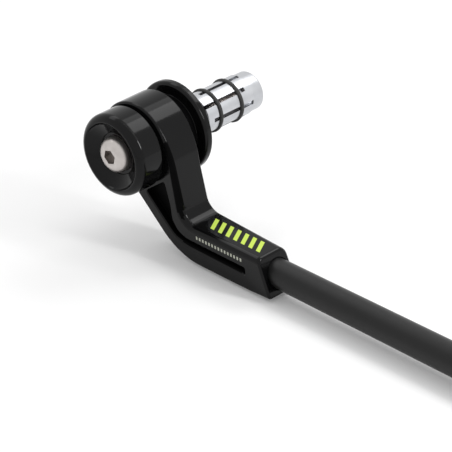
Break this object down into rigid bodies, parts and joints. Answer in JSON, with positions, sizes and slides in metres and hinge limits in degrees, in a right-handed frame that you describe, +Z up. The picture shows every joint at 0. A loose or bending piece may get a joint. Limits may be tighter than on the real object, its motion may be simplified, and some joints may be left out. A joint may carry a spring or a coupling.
{
  "type": "brake lever guard",
  "caption": "Bar-end brake lever guard: a turned cap and screw clamp a cranked arm to the handlebar end, and the arm carries a straight rod in front of the lever.",
  "frame": {"origin": "on the handlebar's axis, in the collar face that the tube end butts against", "axes": "+Y along the handlebar's axis from the cap towards the tube, +X along the guard rod away from the arm, +Z up"},
  "size_m": [0.1989, 0.0734, 0.0576],
  "materials": {
    "black_anodised": "gloss",
    "stainless": "satin",
    "black_polymer": "satin",
    "plain_aluminium": "turned",
    "rubber": "matt",
    "black_steel": "black oxide"
  },
  "bodies": {
    "root": {"end_cap": "black_anodised", "cap_screw": "stainless", "spacer_ring": "black_polymer", "guard_arm": "black_anodised", "collar": "black_anodised", "expander_sleeve": "plain_aluminium", "retaining_ring_front": "rubber", "retaining_ring_rear": "rubber", "expander_nut": "plain_aluminium", "guard_rod": "black_polymer", "set_screw_front": "black_steel", "set_screw_rear": "black_steel"}
  },
  "joints": []
}
